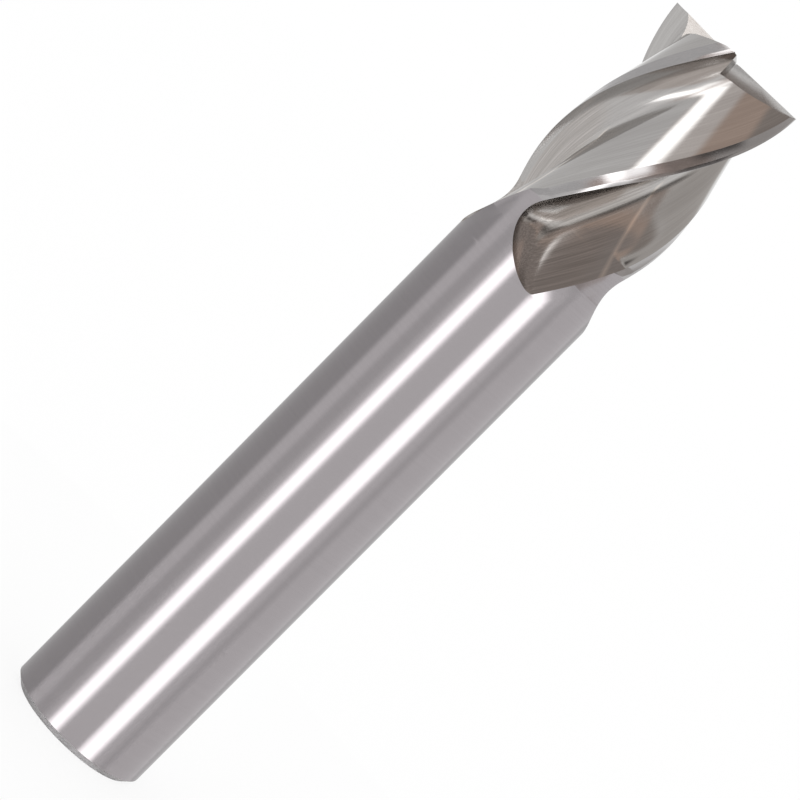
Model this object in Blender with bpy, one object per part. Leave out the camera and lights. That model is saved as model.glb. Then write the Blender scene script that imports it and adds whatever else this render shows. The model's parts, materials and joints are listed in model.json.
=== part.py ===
"""Solid carbide end mill: four helical flutes and a square end on a plain shank.

Metres, +Z up. The tool stands on its shank, with its tip up, and the origin is the centre of
the shank's rear face. It is one ground bar, so it is one object.
"""
import math

import bmesh
import bpy
from mathutils import Matrix, Vector

mm = 0.001

# The bar
overall_length = 92.0 * mm
bar_diameter = 16.0 * mm                 # of the shank and of the cutting part
shank_chamfer = 0.75 * mm

# The flutes, in a section across the axis
core_diameter = 10.4 * mm
flute_count = 4
rake_angle = math.radians(8)             # of the hooked face behind each cutting edge

# The flutes, along the axis
helix_angle = math.radians(35.2)         # right hand
cutting_length = 22.3 * mm               # at full depth, measured from the tip
run_out_radius = 9.0 * mm                # of the curve by which the wheel leaves the bar
run_out_setback = 0.4 * mm               # of the heel there, against the relieved heel
first_corner_azimuth = math.radians(-4.5)

# The lands behind the cutting edges
primary_width = 0.45 * mm
primary_relief = math.radians(8)
secondary_width = 1.15 * mm
secondary_relief = math.radians(17)
relief_end_length = 0.9 * mm             # over which the relief comes up to the full diameter

# The end teeth
dish_angle = math.radians(1.5)
end_relief_width = 1.2 * mm
end_primary_relief = math.radians(7)
end_secondary_relief = math.radians(18)
gash_depth = 0.3 * mm                    # at the centre, below the corners of the teeth
gash_angle = math.radians(20.5)          # the fall of the gash from the centre outwards
gash_floor_angle = math.radians(7)       # its rise towards the next tooth
gash_overrun = 2.0 * mm                  # past the centre
end_web = 0.15 * mm                      # half the width between opposite end edges

# Fineness of the mesh
level_step = 0.9 * mm
run_out_levels = 12
bar_points = 8
hook_points = 8
back_points = 7
slope_steps = 40                         # passes that settle the slope of the back

# Values that follow from the sizes above
bar_radius = bar_diameter / 2
core_radius = core_diameter / 2
tooth_pitch = 2 * math.pi / flute_count
twist = math.tan(helix_angle) / bar_radius
gullet_radius = ((bar_radius ** 2 - core_radius ** 2)
                 / (2 * (core_radius + bar_radius * math.sin(rake_angle))))
full_distance = core_radius + gullet_radius
run_out_length = math.sqrt(2 * run_out_radius * (bar_radius - core_radius))
full_depth_z = overall_length - cutting_length
flute_end_z = full_depth_z - run_out_length
cutter_reach = 1.3 * bar_radius          # the end cutters clear the bar on every side
relief_start = 2.0 * end_web             # from the centre, so that the reliefs leave the web whole
relief_overlap = 1.5 * end_web           # past the end edges, so that no cutters share a side
pillar_half_width = 1.6 * end_web        # of what is left standing between the gashes


def polar(radius, angle):
    return Vector((radius * math.cos(angle), radius * math.sin(angle)))


def land_points(relief):
    """Radius and angle of the heel and of the ridge between the two reliefs, before the next edge.

    relief is 1 on the ground lands and 0 where the bar keeps its full diameter.
    """
    setback = (1 - relief) * run_out_setback / bar_radius
    edge = Vector((bar_radius, 0))
    ridge = edge - primary_width * Vector((math.sin(primary_relief), math.cos(primary_relief)))
    heel = ridge - secondary_width * Vector((math.sin(secondary_relief), math.cos(secondary_relief)))
    points = []
    for corner in (heel, ridge):
        radius = bar_radius + relief * (corner.length - bar_radius)
        points.append((radius, tooth_pitch + math.atan2(corner.y, corner.x) - setback))
    return points


def gullet_angle(distance):
    """Half the angle at the axis between the gullet's centre and its crossings with the bar."""
    cosine = (distance ** 2 + bar_radius ** 2 - gullet_radius ** 2) / (2 * distance * bar_radius)
    return math.acos(min(1.0, cosine))


def back_start(distance, slope):
    """Radius where the gullet, its centre at this distance, passes into the back of the tooth."""
    across = gullet_radius * math.sin(slope)
    return math.sqrt(distance ** 2 - across ** 2) - gullet_radius * math.cos(slope)


def gullet_lead(distance, slope):
    """Angle at the axis from the gullet's centre to the start of the back."""
    return math.asin(gullet_radius * math.sin(slope) / distance)


def back_slope(heel_radius, heel_angle):
    """The steady slope at which the back rises from the full-depth gullet to the heel."""
    slope = rake_angle
    for _ in range(slope_steps):
        start_radius = back_start(full_distance, slope)
        start_angle = gullet_angle(full_distance) + gullet_lead(full_distance, slope)
        slope = math.atan2(math.log(heel_radius / start_radius), heel_angle - start_angle)
    return slope


def flute_outline(lift, relief):
    """One tooth pitch of the section, from one cutting edge up to the next, as radius and angle.

    The outline is bar, gullet, back and land. The wheel leaves the flute by climbing its back:
    lift is how far the gullet's centre has moved out, and the bar fills what it leaves behind.
    """
    heel, ridge = land_points(relief)
    slope = back_slope(*heel)
    distance = full_distance + lift
    joint_radius = back_start(distance, slope)
    full_joint = gullet_angle(full_distance) + gullet_lead(full_distance, slope)
    climb = math.log(joint_radius / back_start(full_distance, slope)) / math.tan(slope)
    joint_angle = full_joint + climb
    centre_angle = joint_angle - gullet_lead(distance, slope)
    half_opening = gullet_angle(distance)

    outline = []
    for i in range(bar_points):
        outline.append((bar_radius, (centre_angle - half_opening) * i / bar_points))

    turn = math.acos(min(1.0, (distance ** 2 + gullet_radius ** 2 - bar_radius ** 2)
                         / (2 * distance * gullet_radius)))
    joint_turn = slope - gullet_lead(distance, slope)
    for i in range(hook_points + 1):
        angle = -turn + (min(turn, joint_turn) + turn) * i / hook_points
        point = Vector((distance - gullet_radius * math.cos(angle), gullet_radius * math.sin(angle)))
        outline.append((point.length, centre_angle + math.atan2(point.y, point.x)))

    for i in range(1, back_points + 1):
        radius = joint_radius + (heel[0] - joint_radius) * i / back_points
        angle = joint_angle + math.log(radius / joint_radius) / math.tan(slope)
        if turn < joint_turn:          # the gullet leaves the bar before it meets the back
            radius, angle = outline[-1]
        outline.append((radius, angle))
    outline.append(ridge)
    return outline


def ring(z, lift, relief, radius_change=0.0):
    """The closed section at height z, its teeth turned along the helix."""
    turn = first_corner_azimuth + twist * (max(z, flute_end_z) - overall_length)
    outline = flute_outline(lift, relief)
    points = []
    for tooth in range(flute_count):
        for radius, angle in outline:
            flat = polar(radius + radius_change, turn + tooth * tooth_pitch + angle)
            points.append(flat.to_3d() + Vector((0, 0, z)))
    return points


def sections():
    """All the rings of the tool, from the rear face to the tip."""
    full_lift = bar_radius - core_radius
    rings = [
        ring(0.0, full_lift, 0.0, -shank_chamfer),
        ring(shank_chamfer, full_lift, 0.0),
    ]
    for i in range(run_out_levels + 1):
        left = run_out_length * (1 - i / run_out_levels)
        rings.append(ring(full_depth_z - left, left ** 2 / (2 * run_out_radius), 0.0))
    count = math.ceil((cutting_length - relief_end_length) / level_step)
    for i in range(count + 1):
        from_end = (cutting_length - relief_end_length) * i / count
        rings.append(ring(full_depth_z + relief_end_length + from_end, 0.0, 1.0))
    return rings


def loft(rings):
    mesh = bpy.data.meshes.new("end_mill")
    bm = bmesh.new()
    rows = [[bm.verts.new(point) for point in points] for points in rings]
    size = len(rows[0])
    for lower, upper in zip(rows, rows[1:]):
        for i in range(size):
            j = (i + 1) % size
            bm.faces.new((lower[i], lower[j], upper[j]))
            bm.faces.new((lower[i], upper[j], upper[i]))
    bm.faces.new(rows[0][::-1])
    bm.faces.new(rows[-1])
    bmesh.ops.remove_doubles(bm, verts=bm.verts, dist=0.0005 * mm)
    bmesh.ops.dissolve_degenerate(bm, edges=bm.edges, dist=0.0002 * mm)
    bm.to_mesh(mesh)
    bm.free()
    return mesh


def make_cutter(name, surface, sides, tooth):
    """The block above a surface z(x, y), between the given sides, turned to its tooth."""
    (left, right), (front, back) = sides
    top = overall_length + bar_radius / 2
    flat = [(left, front), (right, front), (right, back), (left, back)]
    corners = [(x, y, surface(x, y)) for x, y in flat] + [(x, y, top) for x, y in flat]
    faces = [(0, 3, 2, 1), (4, 5, 6, 7)]
    faces += [(i, (i + 1) % 4, (i + 1) % 4 + 4, i + 4) for i in range(4)]
    mesh = bpy.data.meshes.new(name)
    mesh.from_pydata(corners, [], faces)
    mesh.transform(Matrix.Rotation(first_corner_azimuth + tooth * tooth_pitch, 4, "Z"))
    cutter = bpy.data.objects.new(name, mesh)
    cutter.hide_render = True
    cutter.display_type = "WIRE"
    return cutter


def gash_floor(x, y):
    """The gash before the tooth that lies along +X: it falls outwards and rises to the next tooth."""
    fall = gash_depth + x * math.tan(gash_angle) - (y - end_web) * math.tan(gash_floor_angle)
    return overall_length - fall


def first_end_relief(x, y):
    edge = overall_length - (bar_radius - x) * math.tan(dish_angle)
    return edge + (y - end_web) * math.tan(end_primary_relief)


def second_end_relief(x, y):
    ridge = end_web - end_relief_width
    return first_end_relief(x, ridge) + (y - ridge) * math.tan(end_secondary_relief)


def web_top(x, y):
    """Just below the gashes, where all four of them meet."""
    return overall_length - gash_depth - end_web / 2


def end_cutters():
    """A gash in front of each end tooth, two reliefs behind its edge, and the pillar at the centre."""
    cutters = bpy.data.collections.new("end_cutters")
    bpy.context.scene.collection.children.link(cutters)
    ahead = (-gash_overrun, cutter_reach), (end_web, cutter_reach)
    behind = (relief_start, cutter_reach), (-cutter_reach, relief_overlap)
    centre = (-pillar_half_width, pillar_half_width), (-pillar_half_width, pillar_half_width)
    for tooth in range(flute_count):
        cutters.objects.link(make_cutter("gash_cutter", gash_floor, ahead, tooth))
        cutters.objects.link(make_cutter("end_relief_cutter", first_end_relief, behind, tooth))
        cutters.objects.link(make_cutter("end_back_cutter", second_end_relief, behind, tooth))
    cutters.objects.link(make_cutter("web_cutter", web_top, centre, 0))
    return cutters


def ground_carbide():
    material = bpy.data.materials.new("ground_carbide")
    material.use_nodes = True
    shader = material.node_tree.nodes["Principled BSDF"]
    shader.inputs["Base Color"].default_value = (0.34, 0.33, 0.32, 1.0)
    shader.inputs["Metallic"].default_value = 1.0
    shader.inputs["Roughness"].default_value = 0.22
    return material


def build_end_mill():
    mesh = loft(sections())
    mesh.materials.append(ground_carbide())
    tool = bpy.data.objects.new("end_mill", mesh)
    bpy.context.collection.objects.link(tool)
    cut = tool.modifiers.new("end_teeth", "BOOLEAN")
    cut.operation = "DIFFERENCE"
    cut.operand_type = "COLLECTION"
    cut.collection = end_cutters()
    mesh.shade_smooth()
    mesh.set_sharp_from_angle(angle=math.radians(20))
    return tool


for old in list(bpy.data.objects):
    bpy.data.objects.remove(old, do_unlink=True)

build_end_mill()
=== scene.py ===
import json
import math
import bmesh
import bpy
from mathutils import Matrix, Vector

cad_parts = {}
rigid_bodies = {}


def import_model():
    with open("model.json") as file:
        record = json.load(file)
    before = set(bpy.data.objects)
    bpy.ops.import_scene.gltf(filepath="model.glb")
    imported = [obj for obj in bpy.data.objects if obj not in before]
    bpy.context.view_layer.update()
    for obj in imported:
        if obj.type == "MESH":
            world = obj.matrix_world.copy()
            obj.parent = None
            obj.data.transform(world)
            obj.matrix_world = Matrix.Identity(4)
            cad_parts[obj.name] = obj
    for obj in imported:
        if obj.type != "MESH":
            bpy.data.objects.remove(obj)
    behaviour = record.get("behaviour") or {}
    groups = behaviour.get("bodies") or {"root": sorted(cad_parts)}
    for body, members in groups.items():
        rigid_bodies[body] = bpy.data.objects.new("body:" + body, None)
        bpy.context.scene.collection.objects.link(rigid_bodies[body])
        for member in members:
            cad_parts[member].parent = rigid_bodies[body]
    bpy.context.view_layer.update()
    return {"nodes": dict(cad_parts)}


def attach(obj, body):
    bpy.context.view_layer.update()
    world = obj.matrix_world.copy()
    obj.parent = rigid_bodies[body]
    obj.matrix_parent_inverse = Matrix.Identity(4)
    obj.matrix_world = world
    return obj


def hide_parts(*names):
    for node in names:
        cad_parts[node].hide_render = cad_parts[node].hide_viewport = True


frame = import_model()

mm = 0.001
scene = bpy.context.scene
print("frame loaded:", sorted(frame["nodes"]))


def hexColour(text):                       # sRGB hex to the linear values that the shader wants
    channels = []
    for i in (0, 2, 4):
        value = int(text.lstrip("#")[i:i + 2], 16) / 255
        channels.append(value / 12.92 if value <= 0.04045 else ((value + 0.055) / 1.055) ** 2.4)
    return (*channels, 1.0)


def addNode(tree, kind, inputs=None, **settings):
    # an input is a number, a socket, or a node that stands for its first output
    made = tree.nodes.new(kind)
    for name, value in settings.items():
        setattr(made, name, value)
    for name, value in (inputs or {}).items():
        if isinstance(value, bpy.types.Node):
            value = value.outputs[0]
        if isinstance(value, bpy.types.NodeSocket):
            tree.links.new(value, made.inputs[name])
        else:
            made.inputs[name].default_value = value
    return made


def newMaterial(name):
    material = bpy.data.materials.new(name)
    material.use_nodes = True
    return material, material.node_tree


# Millimetres and degrees. The same bar, flutes, lands and end as the solid, cut finer,
# with the small radius on each ground edge that makes it catch the light.
cutter = {
    "length": 92.0,
    "diameter": 16.0,
    "chamfer": 0.75,
    "coreDiameter": 10.4,
    "teeth": 4,
    "rake": 8.0,
    "helix": 35.2,
    "fluteLength": 22.3,        # at full depth
    "runOutRadius": 9.0,
    "runOutSetback": 0.4,
    "cornerAzimuth": -4.5,
    "primaryWidth": 0.45,
    "primaryRelief": 8.0,
    "secondaryWidth": 1.15,
    "secondaryRelief": 17.0,
    "reliefEnd": 0.9,           # over which the relief comes up to the full diameter
    "backEase": 7.0,            # over which the back takes on the relieved heel
    "heelPull": 6,              # the higher, the nearer to the heel the back turns to it
    "dish": 1.5,
    "endReliefWidth": 1.2,
    "endPrimaryRelief": 7.0,
    "endSecondaryRelief": 18.0,
    "gashDepth": 0.3,
    "gashAngle": 20.5,
    "gashFloorAngle": 7.0,
    "endWeb": 0.15,
    "edgeRadius": 0.05,         # a real edge is honed to 0.01 mm, too fine to show
    "heelRadius": 0.09,
    "ridgeRadius": 0.6,
    "cornerShare": 0.3,         # the most that a rounded corner takes of a side
    "sharpAngle": 26.0,         # between faces that keep a crisp edge
    "shankMargin": 0.4,         # of plain bar below the flutes
    "levelStep": 0.35,
    "reliefLevels": 8,
    "runOutLevels": 40,
    "barPoints": 22,
    "hookPoints": 26,
    "backPoints": 26,
    "cornerPoints": 4,
    "slopeSteps": 40,           # passes that settle the slope of the back
    "mergeDistance": 0.0005,
    "shortestEdge": 0.0002,
}

radius = cutter["diameter"] / 2
coreRadius = cutter["coreDiameter"] / 2
pitch = 2 * math.pi / cutter["teeth"]
twist = math.tan(math.radians(cutter["helix"])) / radius          # radians per mm
rake = math.radians(cutter["rake"])
gulletRadius = (radius ** 2 - coreRadius ** 2) / (2 * (coreRadius + radius * math.sin(rake)))
gulletDistance = coreRadius + gulletRadius
runOutLength = math.sqrt(2 * cutter["runOutRadius"] * (radius - coreRadius))
fullDepthZ = cutter["length"] - cutter["fluteLength"]
fluteEndZ = fullDepthZ - runOutLength
cornerAzimuth = math.radians(cutter["cornerAzimuth"])
blockReach = 1.3 * radius                  # the end blocks clear the bar on every side
blockTop = cutter["length"] + radius / 2
gashOverrun = radius / 4                   # past the centre
reliefStart = 2 * cutter["endWeb"]         # from the centre, so that the reliefs leave the web whole
reliefOverlap = 1.5 * cutter["endWeb"]     # past the end edges, so that no blocks share a side
pillarHalf = 1.6 * cutter["endWeb"]        # of what is left standing between the gashes


def polar(r, angle):
    return Vector((r * math.cos(angle), r * math.sin(angle)))


def reliefCorners(relief):                 # heel and ridge, just before the next cutting edge
    first = math.radians(cutter["primaryRelief"])
    second = math.radians(cutter["secondaryRelief"])
    ridge = Vector((radius, 0)) - cutter["primaryWidth"] * Vector((math.sin(first), math.cos(first)))
    heel = ridge - cutter["secondaryWidth"] * Vector((math.sin(second), math.cos(second)))
    setback = (1 - relief) * cutter["runOutSetback"] / radius
    corners = []
    for corner in (heel, ridge):
        r = radius + relief * (corner.length - radius)
        corners.append((r, pitch + math.atan2(corner.y, corner.x) - setback))
    return corners


def halfOpening(distance):                 # at the axis, from the gullet's centre to the bar's rim
    cosine = (distance ** 2 + radius ** 2 - gulletRadius ** 2) / (2 * distance * radius)
    return math.acos(min(1.0, cosine))


def backStart(distance, slope):            # radius where the gullet passes into the back
    across = gulletRadius * math.sin(slope)
    return math.sqrt(distance ** 2 - across ** 2) - gulletRadius * math.cos(slope)


def backLead(distance, slope):             # angle at the axis from the gullet's centre to there
    return math.asin(gulletRadius * math.sin(slope) / distance)


def backSlope(heelRadius, heelAngle):      # steady slope from the full-depth gullet to the heel
    slope = rake
    for _ in range(cutter["slopeSteps"]):
        start = halfOpening(gulletDistance) + backLead(gulletDistance, slope)
        rise = math.log(heelRadius / backStart(gulletDistance, slope))
        slope = math.atan2(rise, heelAngle - start)
    return slope


def roundCorner(before, corner, after, size):
    # the corner as a small curve that touches both of its sides
    toBefore = (before - corner).normalized()
    toAfter = (after - corner).normalized()
    half = toBefore.angle(toAfter) / 2
    shorter = min((before - corner).length, (after - corner).length)
    reach = min(size / math.tan(half), cutter["cornerShare"] * shorter)
    start = corner + toBefore * reach
    end = corner + toAfter * reach
    points = []
    for i in range(cutter["cornerPoints"] + 1):
        t = i / cutter["cornerPoints"]
        points.append((1 - t) ** 2 * start + 2 * t * (1 - t) * corner + t ** 2 * end)
    return points


def toothOutline(lift, relief, backRelief):
    # one pitch of the section as flat points; the back takes on the relief later than the lands do
    heel, ridge = reliefCorners(relief)
    backHeel = reliefCorners(backRelief)[0]
    slope = backSlope(*backHeel)
    distance = gulletDistance + lift
    joint = backStart(distance, slope)
    fullJoint = halfOpening(gulletDistance) + backLead(gulletDistance, slope)
    jointAngle = fullJoint + math.log(joint / backStart(gulletDistance, slope)) / math.tan(slope)
    centreAngle = jointAngle - backLead(distance, slope)
    opening = halfOpening(distance)

    turn = math.acos(min(1.0, (distance ** 2 + gulletRadius ** 2 - radius ** 2)
                         / (2 * distance * gulletRadius)))
    jointTurn = slope - backLead(distance, slope)
    flute = []
    for i in range(cutter["hookPoints"] + 1):
        angle = -turn + (min(turn, jointTurn) + turn) * i / cutter["hookPoints"]
        flat = Vector((distance - gulletRadius * math.cos(angle), gulletRadius * math.sin(angle)))
        flute.append(polar(flat.length, centreAngle + math.atan2(flat.y, flat.x)))
    for i in range(1, cutter["backPoints"] + 1):
        part = i / cutter["backPoints"]
        r = joint + (backHeel[0] - joint) * part
        angle = jointAngle + math.log(r / joint) / math.tan(slope)
        near = part ** cutter["heelPull"]  # only next to the heel does the back follow the land
        point = polar(r + near * (heel[0] - backHeel[0]), angle + near * (heel[1] - backHeel[1]))
        if turn < jointTurn:               # the gullet leaves the bar before it meets the back
            point = flute[-1]
        flute.append(point)

    edge = polar(radius, pitch)
    land = roundCorner(flute[-2], polar(*heel), polar(*ridge), cutter["heelRadius"] * relief)
    land += roundCorner(polar(*heel), polar(*ridge), edge, cutter["ridgeRadius"] * relief)
    if relief > 0:
        nextHook = polar(flute[1].length, pitch + math.atan2(flute[1].y, flute[1].x))
        land += roundCorner(polar(*ridge), edge, nextHook, cutter["edgeRadius"] * relief)
        lastLand = land[-1]
        flute[0] = polar(lastLand.length, math.atan2(lastLand.y, lastLand.x) - pitch)
        bar = [flute[0]] * (cutter["barPoints"] - 1)
    else:
        land += [edge] * (cutter["cornerPoints"] + 1)
        bar = []
        for i in range(1, cutter["barPoints"]):
            bar.append(polar(radius, (centreAngle - opening) * i / cutter["barPoints"]))
    return bar + flute[:-1] + land


def toothZones():                          # the finish of the face after each point of the outline
    barCount = cutter["barPoints"] - 1
    landCount = 3 * (cutter["cornerPoints"] + 1)
    return (["shank"] * barCount + ["gullet"] * cutter["hookPoints"] + ["back"] * cutter["backPoints"]
            + ["land"] * landCount)


def levels():                              # height, lift of the wheel, share of the full relief
    clear = radius - coreRadius
    made = [(cutter["chamfer"], clear, 0.0), (fluteEndZ - cutter["shankMargin"], clear, 0.0)]
    for i in range(cutter["runOutLevels"] + 1):
        left = runOutLength * (1 - (i / cutter["runOutLevels"]) ** 2)
        made.append((fullDepthZ - left, left ** 2 / (2 * cutter["runOutRadius"]), 0.0))
    for i in range(1, cutter["reliefLevels"]):
        part = i / cutter["reliefLevels"]
        made.append((fullDepthZ + cutter["reliefEnd"] * part, 0.0, part))
    straight = cutter["fluteLength"] - cutter["reliefEnd"]
    count = math.ceil(straight / cutter["levelStep"])
    for i in range(count + 1):
        made.append((fullDepthZ + cutter["reliefEnd"] + straight * i / count, 0.0, 1.0))
    return made


def cutterMesh(finishes):
    bm = bmesh.new()
    rows = []
    for z, lift, relief in levels():
        turn = cornerAzimuth + twist * (max(z, fluteEndZ) - cutter["length"])
        ease = min(1.0, max(0.0, (z - fullDepthZ) / cutter["backEase"]))
        outline = toothOutline(lift, relief, ease * ease * (3 - 2 * ease))
        row = []
        for tooth in range(cutter["teeth"]):
            spin = Matrix.Rotation(turn + tooth * pitch, 2)
            for flat in outline:
                x, y = spin @ flat * mm
                row.append(bm.verts.new((x, y, z * mm)))
        rows.append((row, relief, z))
    foot = []
    shrink = 1 - cutter["chamfer"] / radius
    for vertex in rows[0][0]:
        foot.append(bm.verts.new((vertex.co.x * shrink, vertex.co.y * shrink, 0.0)))
    rows.insert(0, (foot, 0.0, 0.0))

    zones = toothZones() * cutter["teeth"]
    size = len(zones)
    for (lower, _, lowZ), (upper, relief, z) in zip(rows, rows[1:]):
        for i in range(size):
            j = (i + 1) % size
            zone = zones[i]                # the bar's own surface is left where no wheel has cut
            if z <= fluteEndZ or (zone == "land" and relief == 0.0):
                zone = "shank"
            if lowZ == 0.0:
                zone = "chamfer"
            for corners in ((lower[i], lower[j], upper[j]), (lower[i], upper[j], upper[i])):
                face = bm.faces.new(corners)
                face.material_index = finishes.index(zone)
    bm.faces.new(foot[::-1]).material_index = finishes.index("shank")
    bm.faces.new(rows[-1][0]).material_index = finishes.index("end")
    bmesh.ops.remove_doubles(bm, verts=bm.verts, dist=cutter["mergeDistance"] * mm)
    bmesh.ops.dissolve_degenerate(bm, edges=bm.edges, dist=cutter["shortestEdge"] * mm)
    mesh = bpy.data.meshes.new("endMill")
    bm.to_mesh(mesh)
    bm.free()
    return mesh


def tangent(name):
    return math.tan(math.radians(cutter[name]))


def gashFloor(x, y):                       # falls outwards, and rises towards the next tooth
    fall = cutter["gashDepth"] + x * tangent("gashAngle")
    return cutter["length"] - fall + (y - cutter["endWeb"]) * tangent("gashFloorAngle")


def firstEndRelief(x, y):
    edge = cutter["length"] - (radius - x) * tangent("dish")
    return edge + (y - cutter["endWeb"]) * tangent("endPrimaryRelief")


def secondEndRelief(x, y):
    ridge = cutter["endWeb"] - cutter["endReliefWidth"]
    return firstEndRelief(x, ridge) + (y - ridge) * tangent("endSecondaryRelief")


def webTop(x, y):                          # just below the gashes, where all four meet
    return cutter["length"] - cutter["gashDepth"] - cutter["endWeb"] / 2


def grindingBlock(name, surface, sides, tooth, material):
    # everything above a surface z(x, y) between the given sides, turned to its tooth
    (left, right), (front, back) = sides
    flat = [(left, front), (right, front), (right, back), (left, back)]
    corners = [Vector((x, y, surface(x, y))) * mm for x, y in flat]
    corners += [Vector((x, y, blockTop)) * mm for x, y in flat]
    faces = [(0, 3, 2, 1), (4, 5, 6, 7)]
    faces += [(i, (i + 1) % 4, (i + 1) % 4 + 4, i + 4) for i in range(4)]
    mesh = bpy.data.meshes.new(name)
    mesh.from_pydata(corners, [], faces)
    mesh.transform(Matrix.Rotation(cornerAzimuth + tooth * pitch, 4, "Z"))
    mesh.materials.append(material)
    return bpy.data.objects.new(name, mesh)


def endBlocks(material):                   # what the wheels take off the end
    blocks = bpy.data.collections.new("endBlocks")
    scene.collection.children.link(blocks)
    ahead = (-gashOverrun, blockReach), (cutter["endWeb"], blockReach)
    behind = (reliefStart, blockReach), (-blockReach, reliefOverlap)
    centre = (-pillarHalf, pillarHalf), (-pillarHalf, pillarHalf)
    for tooth in range(cutter["teeth"]):
        blocks.objects.link(grindingBlock("gash", gashFloor, ahead, tooth, material))
        blocks.objects.link(grindingBlock("endRelief", firstEndRelief, behind, tooth, material))
        blocks.objects.link(grindingBlock("endBack", secondEndRelief, behind, tooth, material))
    blocks.objects.link(grindingBlock("web", webTop, centre, 0, material))
    return blocks


def buildCutter(materials):
    mesh = cutterMesh(list(materials))
    for material in materials.values():
        mesh.materials.append(material)
    rough = bpy.data.objects.new("roughCutter", mesh)
    scene.collection.objects.link(rough)
    cut = rough.modifiers.new("end", "BOOLEAN")
    cut.operation = "DIFFERENCE"
    cut.operand_type = "COLLECTION"
    cut.collection = endBlocks(materials["end"])
    cut.material_mode = "TRANSFER"
    evaluated = rough.evaluated_get(bpy.context.evaluated_depsgraph_get())
    finished = bpy.data.meshes.new_from_object(evaluated)
    for block in list(cut.collection.objects):
        bpy.data.objects.remove(block)
    bpy.data.collections.remove(cut.collection)
    bpy.data.objects.remove(rough)

    tool = bpy.data.objects.new("groundEndMill", finished)
    scene.collection.objects.link(tool)
    finished.shade_smooth()
    finished.set_sharp_from_angle(angle=math.radians(cutter["sharpAngle"]))
    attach(tool, "root")
    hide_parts("end_mill")
    print("cutter built:", len(finished.polygons), "faces", len(finished.materials), "materials")


# Cemented carbide: tungsten carbide grains in cobalt, a grey metal a little warmer and darker
# than steel. How each surface was ground gives it its marks. Marks are in mm across, many times
# coarser than real ones, which would be too fine to show. Stretch below 1 draws them out along x,
# y or z, and bump is how deep they look.
finish = {
    "shank": {"colour": "#a7a2a4", "dark": "#9c9799", "roughness": 0.13, "marks": 0.12,
              "stretch": (0.0144, 0.0144, 1.0), "bump": 0.12},
    "gullet": {"colour": "#c0bebc", "dark": "#aeaba9", "roughness": 0.18, "marks": 0.16,
               "stretch": (1.0, 1.0, 0.02), "bump": 0.12},
    "back": {"colour": "#c1bfbd", "dark": "#aeaba9", "roughness": 0.09, "marks": 0.16,
             "stretch": (1.0, 1.0, 0.02), "bump": 0.13},
    "land": {"colour": "#b0adad", "dark": "#a3a1a1", "roughness": 0.14, "marks": 0.14,
             "stretch": (1.0, 1.0, 0.3), "bump": 0.15},
    "chamfer": {"colour": "#d8d7d8", "dark": "#cac9ca", "roughness": 0.5, "marks": 0.14,
                "stretch": (0.3, 0.3, 1.0), "bump": 0.15},
    "end": {"colour": "#aaa7a4", "dark": "#97928e", "roughness": 0.20, "marks": 0.18,
            "stretch": (1.0, 0.2, 1.0), "bump": 0.15},
}

# What the marks of the centreless grinder on the shank and those of the wheels have in common:
# their depth in mm at a bump of 1, and the least and most roughness as shares of the finish's
ringMarks = {"depth": 0.004, "gloss": (0.8, 1.25)}
wheelMarks = {"depth": 0.008, "gloss": (0.7, 1.4),
              "passes": 0.6,               # per mm; the passes differ a little in brightness
              "uneven": (0.12, 0.42)}      # range of marks times passes, from dark to bright

# Where the wheel begins to leave a flute, millimetres and degrees
leaving = {
    "height": 82.0,                        # of the line at the cutting edge
    "perDegree": 0.18,                     # its fall behind the edge
    "radius": 36.0,                        # of the curve on which the face swings outwards
    "kink": 0.09,                          # its slope at the line
    "colour": "#c0bbb8",
    "dark": "#a5a19d",
    "fade": 3.0,                           # below the line, until the colour is full
    "scratches": (0.35, 0.65),             # range of the marks, from dark to bright
    "line": 0.45,                          # half the width of the painted highlight along the line
    # painted highlight: a pale band along the line that stands in for a strip light's reflection on
    # the crease
    "paintedHighlightColour": "#e2dad2",
    "paintedHighlightStrength": 0.8,
    "paintedHighlightBehind": (16.0, 22.0),            # the painted highlight comes up between these, behind the edge
    "hookToBack": (-0.5, -0.1),            # from hooked side to back, by how far a face looks aside
}


def linkMetal(tree, colour, roughness, normal):
    shader = tree.nodes["Principled BSDF"]
    shader.inputs["Metallic"].default_value = 1.0
    tree.links.new(colour, shader.inputs["Base Color"])
    tree.links.new(roughness, shader.inputs["Roughness"])
    tree.links.new(normal, shader.inputs["Normal"])


def shankFinish(name):
    # centreless-ground carbide: rings of very fine marks, which draw highlights out along the bar
    look = finish["shank"]
    material, tree = newMaterial(name)
    place = addNode(tree, "ShaderNodeTexCoord")
    grain = addNode(tree, "ShaderNodeMapping", {
        "Vector": place.outputs["Object"],
        "Scale": tuple(share / (look["marks"] * mm) for share in look["stretch"])})
    rings = addNode(tree, "ShaderNodeTexNoise", {"Vector": grain, "Scale": 1.0, "Detail": 4.0,
                                                 "Roughness": 0.6})
    shade = addNode(tree, "ShaderNodeMix", {"Factor": rings, 6: hexColour(look["colour"]),
                                            7: hexColour(look["dark"])}, data_type="RGBA")
    gloss = addNode(tree, "ShaderNodeMapRange", {"Value": rings,
                                                 "To Min": look["roughness"] * ringMarks["gloss"][0],
                                                 "To Max": look["roughness"] * ringMarks["gloss"][1]})
    bump = addNode(tree, "ShaderNodeBump", {"Height": rings, "Strength": look["bump"],
                                            "Distance": ringMarks["depth"] * mm})
    linkMetal(tree, shade.outputs[2], gloss.outputs["Result"], bump.outputs["Normal"])
    return material


def untwisted(tree):
    # object coordinates with the helix taken out, in mm: marks then run along the flute
    place = addNode(tree, "ShaderNodeTexCoord")
    parts = addNode(tree, "ShaderNodeSeparateXYZ", {"Vector": place.outputs["Object"]})
    angle = addNode(tree, "ShaderNodeMath", {0: parts.outputs["Z"], 1: -twist / mm},
                    operation="MULTIPLY")
    turned = addNode(tree, "ShaderNodeVectorRotate", {"Vector": place.outputs["Object"],
                                                      "Angle": angle}, rotation_type="Z_AXIS")
    return addNode(tree, "ShaderNodeVectorMath", {0: turned, "Scale": 1 / mm}, operation="SCALE")


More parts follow.
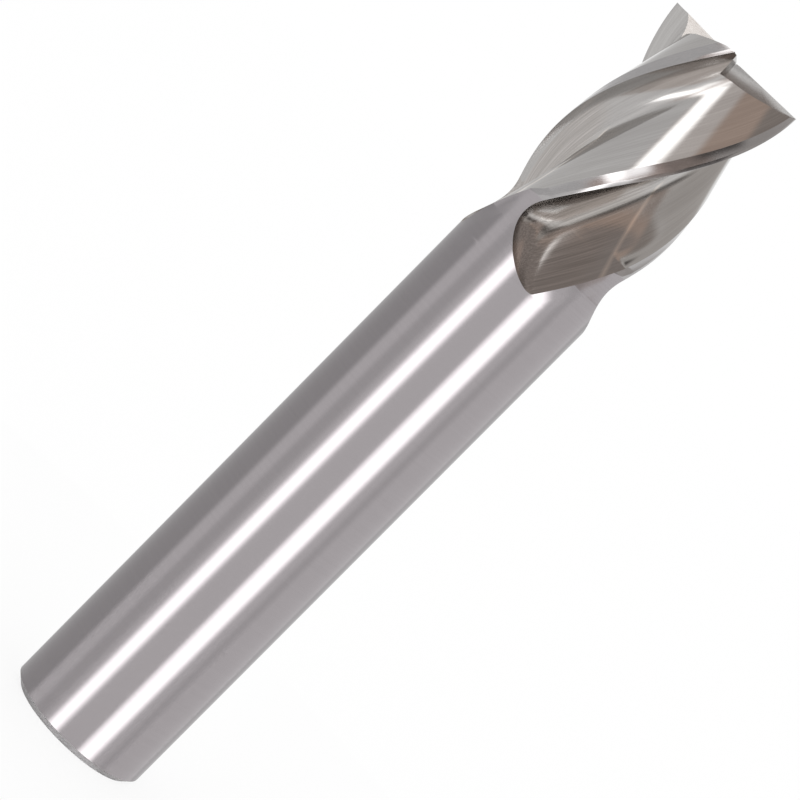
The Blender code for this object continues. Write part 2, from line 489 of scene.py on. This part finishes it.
def leavingLine(tree, along):
    # how far a point lies behind its cutting edge, in radians, and how far below the line where
    # the wheel begins to leave the flute, in mm, less than nothing above it
    parts = addNode(tree, "ShaderNodeSeparateXYZ", {"Vector": along})
    angle = addNode(tree, "ShaderNodeMath", {0: parts.outputs["Y"], 1: parts.outputs["X"]},
                    operation="ARCTAN2")
    fromEdge = addNode(tree, "ShaderNodeMath", {0: angle, 1: cornerAzimuth - twist * cutter["length"]},
                       operation="SUBTRACT")
    behind = addNode(tree, "ShaderNodeMath", {0: fromEdge, 1: 0.0, 2: pitch}, operation="WRAP")
    line = addNode(tree, "ShaderNodeMath", {0: behind, 1: -leaving["perDegree"] * 180 / math.pi,
                                            2: leaving["height"]}, operation="MULTIPLY_ADD")
    past = addNode(tree, "ShaderNodeMath", {0: line, 1: parts.outputs["Z"]}, operation="SUBTRACT")
    return behind, past


def facingBack(tree):
    # 0 on the hooked side of a flute and 1 on the back of the tooth, by which way the face looks
    place = addNode(tree, "ShaderNodeTexCoord")
    lever = addNode(tree, "ShaderNodeVectorMath", {0: place.outputs["Object"],
                                                   1: place.outputs["Normal"]},
                    operation="CROSS_PRODUCT")
    parts = addNode(tree, "ShaderNodeSeparateXYZ", {"Vector": lever})
    aside = addNode(tree, "ShaderNodeMath", {0: parts.outputs["Z"], 1: -1 / (radius * mm)},
                    operation="MULTIPLY")
    hooked, back = leaving["hookToBack"]
    return addNode(tree, "ShaderNodeMapRange", {"Value": aside, "From Min": hooked,
                                                "From Max": back}, interpolation_type="SMOOTHSTEP")


def leaveFlute(tree, along, marks, normal, colour):
    # below the line the wheel swings outwards, and the colour there turns darker and browner, its
    # marks with more contrast; along the line lies a painted highlight
    behind, past = leavingLine(tree, along)
    below = addNode(tree, "ShaderNodeMath", {0: past, 1: 0.0}, operation="MAXIMUM")
    slope = addNode(tree, "ShaderNodeMath", {0: below, 1: 1 / (2 * leaving["radius"]),
                                             2: leaving["kink"]}, operation="MULTIPLY_ADD")
    swing = addNode(tree, "ShaderNodeMath", {0: below, 1: slope}, operation="MULTIPLY")
    tilted = addNode(tree, "ShaderNodeBump", {"Height": swing, "Strength": 1.0, "Distance": mm,
                                              "Normal": normal})
    normal = addNode(tree, "ShaderNodeMix", {"Factor": facingBack(tree), 4: normal, 5: tilted},
                     data_type="VECTOR").outputs[1]

    scratched = addNode(tree, "ShaderNodeMapRange", {"Value": marks,
                                                     "From Min": leaving["scratches"][0],
                                                     "From Max": leaving["scratches"][1]})
    brown = addNode(tree, "ShaderNodeMix", {"Factor": scratched, 6: hexColour(leaving["dark"]),
                                            7: hexColour(leaving["colour"])}, data_type="RGBA")
    deep = addNode(tree, "ShaderNodeMapRange", {"Value": below, "From Min": 0.0,
                                                "From Max": leaving["fade"]},
                   interpolation_type="SMOOTHSTEP")
    colour = addNode(tree, "ShaderNodeMix", {"Factor": deep, 6: colour, 7: brown.outputs[2]},
                     data_type="RGBA").outputs[2]

    # painted highlight: a pale band along the line, on the back of the tooth only, in place of a strip
    # light's reflection on the crease
    fromLine = addNode(tree, "ShaderNodeMath", {0: past}, operation="ABSOLUTE")
    line = addNode(tree, "ShaderNodeMapRange", {"Value": fromLine, "From Min": 0.0,
                                                "From Max": leaving["line"],
                                                "To Min": leaving["paintedHighlightStrength"], "To Max": 0.0})
    first, full = leaving["paintedHighlightBehind"]
    onBack = addNode(tree, "ShaderNodeMapRange", {"Value": behind, "From Min": math.radians(first),
                                                  "From Max": math.radians(full)},
                     interpolation_type="SMOOTHSTEP")
    paintedHighlight = addNode(tree, "ShaderNodeMath", {0: line, 1: onBack}, operation="MULTIPLY")
    colour = addNode(tree, "ShaderNodeMix", {"Factor": paintedHighlight, 6: colour,
                                             7: hexColour(leaving["paintedHighlightColour"])},
                     data_type="RGBA").outputs[2]
    return normal, colour


def wheelFinish(name, zone):
    # wheel-ground carbide: scratches that follow the wheel's path, in slightly uneven passes
    look = finish[zone]
    material, tree = newMaterial(name)
    along = untwisted(tree)
    grain = addNode(tree, "ShaderNodeMapping", {
        "Vector": along, "Scale": tuple(share / look["marks"] for share in look["stretch"])})
    marks = addNode(tree, "ShaderNodeTexNoise", {"Vector": grain, "Scale": 1.0, "Detail": 5.0,
                                                 "Roughness": 0.6})
    wide = addNode(tree, "ShaderNodeMapping", {
        "Vector": along, "Scale": tuple(share * wheelMarks["passes"] for share in look["stretch"])})
    passes = addNode(tree, "ShaderNodeTexNoise", {"Vector": wide, "Scale": 1.0, "Detail": 3.0})
    both = addNode(tree, "ShaderNodeMath", {0: marks, 1: passes}, operation="MULTIPLY")
    uneven = addNode(tree, "ShaderNodeMapRange", {"Value": both, "From Min": wheelMarks["uneven"][0],
                                                  "From Max": wheelMarks["uneven"][1]})
    shade = addNode(tree, "ShaderNodeMix", {"Factor": uneven, 6: hexColour(look["dark"]),
                                            7: hexColour(look["colour"])}, data_type="RGBA")
    gloss = addNode(tree, "ShaderNodeMapRange", {"Value": marks,
                                                 "To Min": look["roughness"] * wheelMarks["gloss"][0],
                                                 "To Max": look["roughness"] * wheelMarks["gloss"][1]})
    bump = addNode(tree, "ShaderNodeBump", {"Height": marks, "Strength": look["bump"],
                                            "Distance": wheelMarks["depth"] * mm})
    normal = bump.outputs["Normal"]
    colour = shade.outputs[2]
    if zone in ("gullet", "back"):
        normal, colour = leaveFlute(tree, along, marks, normal, colour)
    linkMetal(tree, colour, gloss.outputs["Result"], normal)
    return material


# Panels stand round the tool between two bearings, in degrees from the camera towards the right,
# and two heights, in mm. Each fades out at its rim, and where it starts below 0, its lower rim
# would lie under the floor. The low ones are for the shank, the lands and the tip, and the high
# ones for the flutes. A brightness of 1 is the white of the floor.
studio = {
    "floorSize": 3000.0,
    "floorColour": "#ffffff",
    "floorRoughness": 0.5,
    "floorVeil": 0.85,                     # share of even white over the floor's own shading
    "mirrorRoughness": 0.03,               # of the floor where the tool mirrors it
    "low": 80.0,                           # distance of the panels from the axis
    "high": 150.0,
    "panelSteps": 24,
    "shelfSteps": 48,
    "lowRim": (11.0, 4.0),                 # degrees and mm over which a panel fades
    "highRim": (14.0, 14.0),
    "panels": [
        ("leftStrip", "low", (-36, -9), (-10, 100), "#ffffff", 3.4),
        ("rightStrip", "low", (22, 51), (-10, 67), "#ffffff", 3.4),
        ("landStrip", "low", (-20, 10), (84, 101), "#ffffff", 2.4),
        ("tipStrip", "low", (-30, 4), (104, 119), "#ffffff", 2.6),
        ("topStrip", "low", (-47, -13), (102, 127), "#ffffff", 3.0),
        ("leftCard", "low", (-178, -76), (-10, 68), "#ffffff", 0.60),
        ("innerCard", "low", (-67, -37), (-10, 68), "#ffffff", 0.78),
        ("rightCard", "low", (57, 80), (-10, 68), "#ffffff", 0.82),
        ("rearCard", "low", (132, 178), (-10, 68), "#ffffff", 0.70),
        ("darkFlag", "high", (34, 90), (88, 128), "#fff4ee", 0.10),
        ("leftSky", "high", (-160, -40), (84, 200), "#ffffff", 0.78),
        ("frontSky", "high", (-60, 16), (128, 200), "#fff8f4", 0.76),
        ("frontFlag", "high", (-60, 20), (96, 146), "#ffe8de", 0.62),
        ("rightFlag", "high", (-2, 60), (84, 146), "#ffece2", 0.38),
        ("sideFlag", "high", (38, 156), (84, 146), "#fffaf6", 0.60),
        ("rightSky", "high", (-4, 66), (132, 200), "#ffe6d7", 0.56),
        ("sideSky", "high", (38, 125), (132, 200), "#fff2ea", 0.36),
    ],
    # One-sided shelves by bearing, reach from the axis and height: what the flutes see below them
    # and above. The first three shine upwards and fall away with the light that the shank sends
    # off, so the shank misses them. The last three shine downwards, and the visor rises outwards,
    # so that only light from low in the flutes meets it.
    "shelves": [
        ("leftShelf", (-175, 8), (9, 170), (66, 57.9), "#ffffff", 0.87),
        ("rightShelf", (8, 96), (22, 170), (65.4, 57.9), "#fff6f0", 0.72),
        ("nearShelf", (8, 96), (9, 22), (66, 65.4), "#fff6f0", 0.56),
        ("visor", (84, -8), (24, 170), (87, 158), "#fff2ec", 0.34),
        ("zenith", (180, -180), (0, 75), (184, 184), "#ffeae0", 0.52),
        ("canopy", (180, -180), (0, 175), (186, 186), "#fff2ec", 0.34),
    ],
}


def buildWorld():
    world = bpy.data.worlds.new("whiteStudio")
    scene.world = world
    world.use_nodes = True
    background = world.node_tree.nodes["Background"]
    background.inputs["Color"].default_value = (1, 1, 1, 1)
    background.inputs["Strength"].default_value = 1.0


def buildFloor():
    # white acrylic: it keeps a faint shadow, and it is glossy where the metal sees it
    half = studio["floorSize"] / 2 * mm
    mesh = bpy.data.meshes.new("floor")
    mesh.from_pydata([(-half, -half, 0), (half, -half, 0), (half, half, 0), (-half, half, 0)],
                     [], [(0, 1, 2, 3)])
    floor = bpy.data.objects.new("floor", mesh)
    scene.collection.objects.link(floor)
    material, tree = newMaterial("whiteAcrylic")
    shader = tree.nodes["Principled BSDF"]
    shader.inputs["Base Color"].default_value = hexColour(studio["floorColour"])
    shader.inputs["Roughness"].default_value = studio["floorRoughness"]
    glow = addNode(tree, "ShaderNodeEmission", {"Color": (1, 1, 1, 1), "Strength": 1.0})
    veiled = addNode(tree, "ShaderNodeMixShader", {0: studio["floorVeil"], 1: shader, 2: glow})
    mirror = addNode(tree, "ShaderNodeBsdfGlossy", {"Color": (1, 1, 1, 1),
                                                    "Roughness": studio["mirrorRoughness"]})
    path = addNode(tree, "ShaderNodeLightPath")
    seen = addNode(tree, "ShaderNodeMixShader", {0: path.outputs["Is Glossy Ray"], 1: veiled,
                                                 2: mirror})
    looked = path.outputs["Is Camera Ray"]
    for kind in ("Is Glossy Ray", "Is Transmission Ray"):
        looked = addNode(tree, "ShaderNodeMath", {0: looked, 1: path.outputs[kind]},
                         operation="MAXIMUM")
    mixed = addNode(tree, "ShaderNodeMixShader", {0: looked, 1: shader, 2: seen})
    tree.links.new(mixed.outputs["Shader"], tree.nodes["Material Output"].inputs["Surface"])
    mesh.materials.append(material)


def linkGlow(tree, mask, colour, brightness):
    # light where the mask is 1, and nothing at all where it is 0
    clear = addNode(tree, "ShaderNodeBsdfTransparent")
    glow = addNode(tree, "ShaderNodeEmission", {"Color": hexColour(colour), "Strength": brightness})
    mixed = addNode(tree, "ShaderNodeMixShader", {0: mask, 1: clear, 2: glow})
    tree.links.new(mixed.outputs["Shader"], tree.nodes["Material Output"].inputs["Surface"])


def panelMaterial(name, bearings, heights, rim, colour, brightness):
    # softbox cloth, lit from behind: an even glow that fades out at its rim
    material, tree = newMaterial(name)
    place = addNode(tree, "ShaderNodeTexCoord")
    parts = addNode(tree, "ShaderNodeSeparateXYZ", {"Vector": place.outputs["Object"]})
    away = addNode(tree, "ShaderNodeMath", {0: parts.outputs["Y"], 1: -1.0}, operation="MULTIPLY")
    angle = addNode(tree, "ShaderNodeMath", {0: parts.outputs["X"], 1: away}, operation="ARCTAN2")
    bearing = addNode(tree, "ShaderNodeMath", {0: angle, 1: 180 / math.pi}, operation="MULTIPLY")
    height = addNode(tree, "ShaderNodeMath", {0: parts.outputs["Z"], 1: 1 / mm},
                     operation="MULTIPLY")
    mask = 1.0
    for value, ends, width in ((bearing, bearings, rim[0]), (height, heights, rim[1])):
        for end, inwards in zip(ends, (width, -width)):
            edge = addNode(tree, "ShaderNodeMapRange", {"Value": value, "From Min": end,
                                                        "From Max": end + inwards},
                           interpolation_type="SMOOTHSTEP")
            mask = addNode(tree, "ShaderNodeMath", {0: mask, 1: edge}, operation="MULTIPLY")
    linkGlow(tree, mask, colour, brightness)
    return material


def shelfMaterial(name, colour, brightness):
    # softbox cloth that glows to one side only, and isn't there from the other
    material, tree = newMaterial(name)
    side = addNode(tree, "ShaderNodeNewGeometry")
    front = addNode(tree, "ShaderNodeMath", {0: 1.0, 1: side.outputs["Backfacing"]},
                    operation="SUBTRACT")
    linkGlow(tree, front, colour, brightness)
    return material


def stagePanel(name, corners, faces, material):
    mesh = bpy.data.meshes.new(name)
    mesh.from_pydata(corners, [], faces)
    mesh.materials.append(material)
    panel = bpy.data.objects.new(name, mesh)
    scene.collection.objects.link(panel)
    panel.visible_camera = False           # only the metal sees the panels
    panel.visible_diffuse = False
    panel.visible_shadow = False


def buildPanels():
    for number, panel in enumerate(studio["panels"]):
        name, place, bearings, heights, colour, brightness = panel
        reach = studio[place] + number     # so that no two panels lie in one surface
        corners = []
        for i in range(studio["panelSteps"] + 1):
            part = i / studio["panelSteps"]
            flat = polar(reach, math.radians(bearings[0] + (bearings[1] - bearings[0]) * part - 90))
            for height in (max(heights[0], 0), heights[1]):
                corners.append((flat.x * mm, flat.y * mm, height * mm))
        faces = [(2 * i, 2 * i + 2, 2 * i + 3, 2 * i + 1) for i in range(studio["panelSteps"])]
        material = panelMaterial(name, bearings, heights, studio[place + "Rim"], colour, brightness)
        stagePanel(name, corners, faces, material)

    for name, bearings, reaches, heights, colour, brightness in studio["shelves"]:
        corners = []
        for i in range(studio["shelfSteps"] + 1):
            part = i / studio["shelfSteps"]
            bearing = math.radians(bearings[0] + (bearings[1] - bearings[0]) * part - 90)
            for reach, height in zip(reaches, heights):
                flat = polar(reach, bearing)
                corners.append((flat.x * mm, flat.y * mm, height * mm))
        faces = [(2 * i, 2 * i + 1, 2 * i + 3, 2 * i + 2) for i in range(studio["shelfSteps"])]
        stagePanel(name, corners, faces, shelfMaterial(name, colour, brightness))


# The camera of the photograph: millimetres and degrees.
view = {
    "place": (0.0, -274.2, 75.95),
    "pitch": 6.23,                         # down
    "roll": 44.78,
    "lens": 127.5,
    "clipStart": 10.0,
}


def buildCamera():
    data = bpy.data.cameras.new("camera")
    data.lens = view["lens"]
    data.clip_start = view["clipStart"] * mm
    camera = bpy.data.objects.new("camera", data)
    scene.collection.objects.link(camera)
    camera.matrix_world = (Matrix.Translation(Vector(view["place"]) * mm)
                           @ Matrix.Rotation(math.radians(90 - view["pitch"]), 4, "X")
                           @ Matrix.Rotation(math.radians(view["roll"]), 4, "Z"))
    scene.camera = camera


scene.view_settings.view_transform = "Standard"
buildCamera()
buildWorld()
buildFloor()
buildPanels()
print("studio built")
buildCutter({
    "shank": shankFinish("centrelessGroundCarbide"),
    "gullet": wheelFinish("gulletGroundCarbide", "gullet"),
    "back": wheelFinish("backGroundCarbide", "back"),
    "land": wheelFinish("reliefGroundCarbide", "land"),
    "end": wheelFinish("endGroundCarbide", "end"),
    "chamfer": wheelFinish("chamferGroundCarbide", "chamfer"),
})
